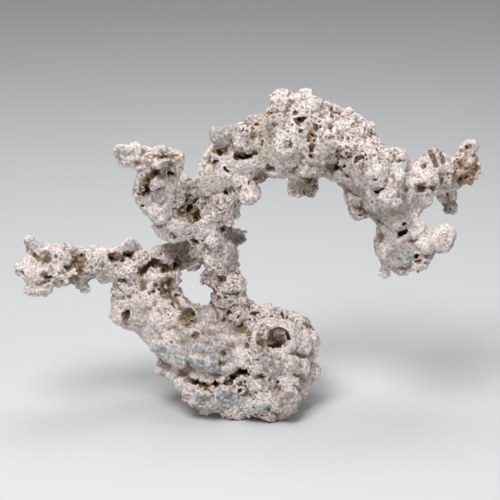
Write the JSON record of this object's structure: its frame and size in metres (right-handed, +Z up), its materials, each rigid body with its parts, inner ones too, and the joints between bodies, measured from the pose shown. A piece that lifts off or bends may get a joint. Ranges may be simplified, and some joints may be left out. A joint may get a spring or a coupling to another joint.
{
  "type": "dry reef rock",
  "caption": "Dry coral reef rock for an aquascape: a heavy foot with a low side arm, a hooked knob and a tall arch that ends in a hook and a raised arm.",
  "frame": {"origin": "on the floor, in the middle of the flat foot that the rock rests on", "axes": "+Z up, +X along the rock's greatest width from the low arm to the raised arm, +Y away from the front"},
  "size_m": [0.4614, 0.1245, 0.3235],
  "materials": {
    "stone": "rough, chalky and porous, cream to warm grey with brown in the crevices"
  },
  "bodies": {
    "root": {"base": "stone", "left_arm": "stone", "stem": "stone", "crook": "stone", "arch": "stone", "hook": "stone", "right_arm": "stone"}
  },
  "joints": []
}
